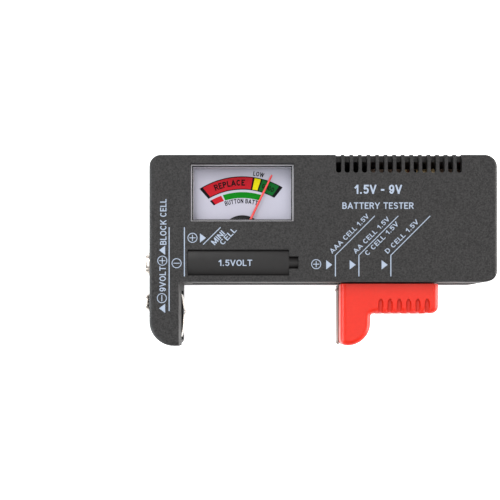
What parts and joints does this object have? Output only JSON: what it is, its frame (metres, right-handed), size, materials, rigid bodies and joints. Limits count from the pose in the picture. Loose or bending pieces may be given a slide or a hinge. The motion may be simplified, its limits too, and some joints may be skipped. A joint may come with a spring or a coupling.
{
  "type": "battery tester",
  "caption": "Pocket battery tester with a pointer meter, a fixed end leg, a sliding jaw that clamps a cell against it, and snap terminals for a block battery.",
  "frame": {"origin": "under the middle of the whole tester, on the surface its back rests on", "axes": "+X along the case from the leg towards the plain end, +Y towards the vented edge, +Z out of the front face"},
  "size_m": [0.1124, 0.0604, 0.025],
  "materials": {
    "case_plastic": "fine spark-eroded texture",
    "black_plastic": "satin",
    "clear_plastic": "polished clear acrylic",
    "dial_print": "satin white print",
    "pointer_red": "satin",
    "brass": "plain rolled",
    "copper_coil": "enamelled winding",
    "steel": "plain",
    "magnet": "ground",
    "nickel": "bright nickel plate",
    "red_plastic": "satin moulded",
    "board": "phenolic paper laminate",
    "resistor_body": "lacquered",
    "wire_black": "smooth insulation",
    "wire_red": "smooth insulation",
    "wire_yellow": "smooth insulation"
  },
  "bodies": {
    "case": {"front_shell": "case_plastic", "back_shell": "case_plastic", "case_screw_1": "steel", "case_screw_2": "steel", "case_screw_3": "steel", "window_cover": "clear_plastic", "meter_base": "black_plastic", "dial_plate": "dial_print", "dial_shield": "black_plastic", "core_magnet": "magnet", "yoke_ring": "steel", "core_spacer_1": "brass", "core_spacer_2": "brass", "front_bridge": "brass", "rear_bridge": "brass", "jewel_screw_front": "brass", "jewel_screw_rear": "brass", "hairspring_front": "brass", "hairspring_rear": "brass", "meter_lug_negative": "nickel", "meter_lug_positive": "nickel", "contact_rail": "brass", "snap_plate": "board", "female_snap": "nickel", "male_snap": "nickel", "snap_rivet_upper": "nickel", "snap_rivet_lower": "nickel", "circuit_board": "board", "board_screw_1": "steel", "board_screw_2": "steel", "load_resistor": "resistor_body", "range_resistor_1": "resistor_body", "range_resistor_2": "resistor_body", "wire_leg_negative": "wire_black", "wire_snap_link": "wire_black", "wire_snap_positive": "wire_red", "wire_rail_positive": "wire_red", "wire_meter_positive": "wire_yellow", "wire_board_negative": "wire_black"},
    "jaw": {"slider_grip": "red_plastic", "slider_contact": "nickel", "slider_wiper": "brass", "wiper_rivet": "steel"},
    "movement": {"pointer": "pointer_red", "balance_weight": "brass", "moving_coil": "copper_coil", "pivot_front": "steel", "pivot_rear": "steel"},
    "leg_leaf": {"leg_contact": "nickel"}
  },
  "joints": [
    {"name": "jaw_slide", "type": "slide", "parent": "case", "child": "jaw", "axis": [1, 0, 0], "range_m": [-0.0475, 0.0154]},
    {"name": "pointer_swing", "type": "hinge", "parent": "case", "child": "movement", "pos_m": [-0.02442, 0.0048, 0.0193], "axis": [0, 0, 1], "range_deg": [-14, 67], "stiffness_Nm_per_rad": 0.00005},
    {"name": "leg_contact_press", "type": "slide", "parent": "case", "child": "leg_leaf", "axis": [-1, 0, 0], "range_m": [0, 0.0012], "stiffness_N_per_m": 1500}
  ]
}
